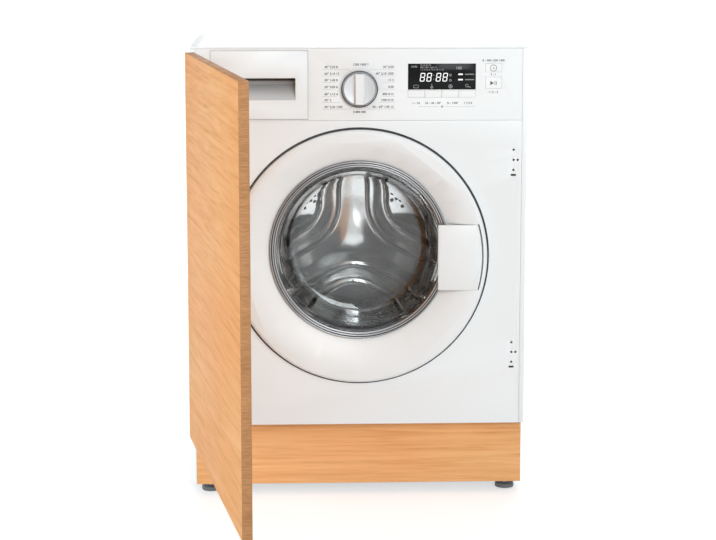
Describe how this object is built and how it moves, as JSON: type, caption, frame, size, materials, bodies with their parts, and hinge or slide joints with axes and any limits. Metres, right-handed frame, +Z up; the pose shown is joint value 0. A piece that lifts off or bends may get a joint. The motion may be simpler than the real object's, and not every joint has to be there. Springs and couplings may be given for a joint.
{
  "type": "built-in washing machine",
  "caption": "White front-loading washing machine behind an oak decor door, with a round glass porthole, programme knob, detergent drawer, oak plinth and levelling feet.",
  "frame": {"origin": "on the floor, under the middle of the whole object's footprint with its decor door open", "axes": "+Z up, +Y from the white front to the back, +X to the right of a person facing the front"},
  "size_m": [0.6031, 1.1452, 0.82],
  "materials": {
    "white_enamel": "smooth white stove enamel",
    "zinc_sheet": "dull zinc-coated sheet",
    "white_fascia": "satin white moulding",
    "white_ring": "satin white moulding",
    "silver_trim": "satin silver plating",
    "door_glass": "clear pressed glass",
    "display_black": "polished black window",
    "key_white": "satin white moulding",
    "knob_silver": "satin silver paint",
    "stainless": "bright stainless sheet",
    "tray_white": "plain white moulding",
    "inner_plastic": "plain grey moulding",
    "circuit": "green circuit board",
    "grey_rubber": "soft grey rubber",
    "black_rubber": "black rubber",
    "cast_iron": "rough cast surface",
    "cast_aluminium": "as cast",
    "steel": "plain steel",
    "hinge_nickel": "satin nickel plating",
    "foot_grey": "dark grey pad under a plated stem",
    "oak": "reddish oak veneer, satin lacquer"
  },
  "bodies": {
    "casing": {"side_panel_right": "white_enamel", "side_panel_left": "white_enamel", "top_cover": "white_enamel", "front_panel": "white_enamel", "rear_panel": "zinc_sheet", "rear_access_cover": "zinc_sheet", "base_tray": "zinc_sheet", "plinth_board": "oak", "rear_fittings": "inner_plastic", "control_fascia": "white_fascia", "display_window": "display_black", "control_board": "circuit", "dispenser_housing": "tray_white", "inlet_valve": "inner_plastic", "water_hoses": "grey_rubber", "drain_pump": "inner_plastic", "drain_hoses": "grey_rubber", "tub_front": "inner_plastic", "tub_rear": "inner_plastic", "door_gasket": "grey_rubber", "counterweights": "cast_iron", "suspension_springs": "steel", "shock_absorbers": "steel", "heating_element": "steel", "drum_bearings": "steel", "shaft_seal": "black_rubber", "motor_housing": "cast_aluminium", "drive_belt": "black_rubber", "porthole_hinge_bracket": "hinge_nickel", "door_lock": "inner_plastic", "decor_hinge_arms": "hinge_nickel"},
    "decor_door": {"decor_panel": "oak", "decor_hinge_cups": "hinge_nickel"},
    "porthole_door": {"door_outer_ring": "white_ring", "door_inner_ring": "white_ring", "door_glass": "door_glass", "glass_trim_ring": "silver_trim", "door_hinge_arm": "hinge_nickel"},
    "door_handle_flap": {"door_handle": "white_ring"},
    "door_latch": {"latch_hook": "steel"},
    "drawer": {"drawer_front": "white_fascia", "drawer_tray": "tray_white"},
    "knob": {"programme_knob": "knob_silver"},
    "drum": {"drum_shell": "stainless", "drum_rear_wall": "stainless", "drum_lifters": "stainless", "drum_spider": "cast_aluminium", "drum_pulley": "cast_aluminium"},
    "motor_rotor": {"motor_pulley": "steel"},
    "lint_filter": {"pump_filter": "inner_plastic"},
    "option_key_1": {"key_1": "key_white"},
    "option_key_2": {"key_2": "key_white"},
    "option_key_3": {"key_3": "key_white"},
    "option_key_4": {"key_4": "key_white"},
    "power_key": {"power_button": "key_white"},
    "start_key": {"start_button": "key_white"},
    "levelling_foot_front_left": {"foot_front_left": "foot_grey"},
    "levelling_foot_front_right": {"foot_front_right": "foot_grey"},
    "levelling_foot_rear_left": {"foot_rear_left": "foot_grey"},
    "levelling_foot_rear_right": {"foot_rear_right": "foot_grey"}
  },
  "joints": [
    {"name": "decor_door_hinge", "type": "hinge", "parent": "casing", "child": "decor_door", "pos_m": [-0.288, 0.00655, 0.445], "axis": [0, 0, -1], "range_deg": [-79.5, 15.5]},
    {"name": "porthole_door_hinge", "type": "hinge", "parent": "casing", "child": "porthole_door", "pos_m": [-0.238, 0.02055, 0.445], "axis": [0, 0, -1], "range_deg": [0, 80]},
    {"name": "handle_pull", "type": "hinge", "parent": "porthole_door", "child": "door_handle_flap", "pos_m": [0.204, 0.01855, 0.4445], "axis": [0, 0, 1], "range_deg": [0, 16], "stiffness_Nm_per_rad": 2, "springref_deg": -8.59},
    {"name": "latch_turn", "type": "hinge", "parent": "porthole_door", "child": "door_latch", "pos_m": [0.196, 0.03355, 0.445], "axis": [0, 0, 1], "range_deg": [0, 10]},
    {"name": "drawer_slide", "type": "slide", "parent": "casing", "child": "drawer", "axis": [0, -1, 0], "range_m": [0, 0.15]},
    {"name": "programme_turn", "type": "hinge", "parent": "casing", "child": "knob", "pos_m": [0, 0.02855, 0.745], "axis": [0, 1, 0], "continuous": true},
    {"name": "drum_turn", "type": "hinge", "parent": "casing", "child": "drum", "pos_m": [0, 0.28855, 0.415], "axis": [0, 1, 0], "continuous": true},
    {"name": "rotor_turn", "type": "hinge", "parent": "casing", "child": "motor_rotor", "pos_m": [0.11, 0.47855, 0.105], "axis": [0, 1, 0], "continuous": true},
    {"name": "filter_turn", "type": "hinge", "parent": "casing", "child": "lint_filter", "pos_m": [0.215, 0.10355, 0.08], "axis": [0, -1, 0], "range_deg": [0, 90]},
    {"name": "option_key_1_press", "type": "slide", "parent": "casing", "child": "option_key_1", "axis": [0, 1, 0], "range_m": [0, 0.0012], "stiffness_N_per_m": 900, "springref_m": -0.0006},
    {"name": "option_key_2_press", "type": "slide", "parent": "casing", "child": "option_key_2", "axis": [0, 1, 0], "range_m": [0, 0.0012], "stiffness_N_per_m": 900, "springref_m": -0.0006},
    {"name": "option_key_3_press", "type": "slide", "parent": "casing", "child": "option_key_3", "axis": [0, 1, 0], "range_m": [0, 0.0012], "stiffness_N_per_m": 900, "springref_m": -0.0006},
    {"name": "option_key_4_press", "type": "slide", "parent": "casing", "child": "option_key_4", "axis": [0, 1, 0], "range_m": [0, 0.0012], "stiffness_N_per_m": 900, "springref_m": -0.0006},
    {"name": "power_key_press", "type": "slide", "parent": "casing", "child": "power_key", "axis": [0, 1, 0], "range_m": [0, 0.0012], "stiffness_N_per_m": 900, "springref_m": -0.0006},
    {"name": "start_key_press", "type": "slide", "parent": "casing", "child": "start_key", "axis": [0, 1, 0], "range_m": [0, 0.0012], "stiffness_N_per_m": 900, "springref_m": -0.0006},
    {"name": "foot_front_left_screw", "type": "slide", "parent": "casing", "child": "levelling_foot_front_left", "axis": [0, 0, -1], "range_m": [0, 0.01]},
    {"name": "foot_front_right_screw", "type": "slide", "parent": "casing", "child": "levelling_foot_front_right", "axis": [0, 0, -1], "range_m": [0, 0.01]},
    {"name": "foot_rear_left_screw", "type": "slide", "parent": "casing", "child": "levelling_foot_rear_left", "axis": [0, 0, -1], "range_m": [0, 0.01]},
    {"name": "foot_rear_right_screw", "type": "slide", "parent": "casing", "child": "levelling_foot_rear_right", "axis": [0, 0, -1], "range_m": [0, 0.01]}
  ],
  "couplings": [
    {"joint": "latch_turn", "follows": "handle_pull", "ratio": 0.625},
    {"joint": "rotor_turn", "follows": "drum_turn", "ratio": 14}
  ]
}
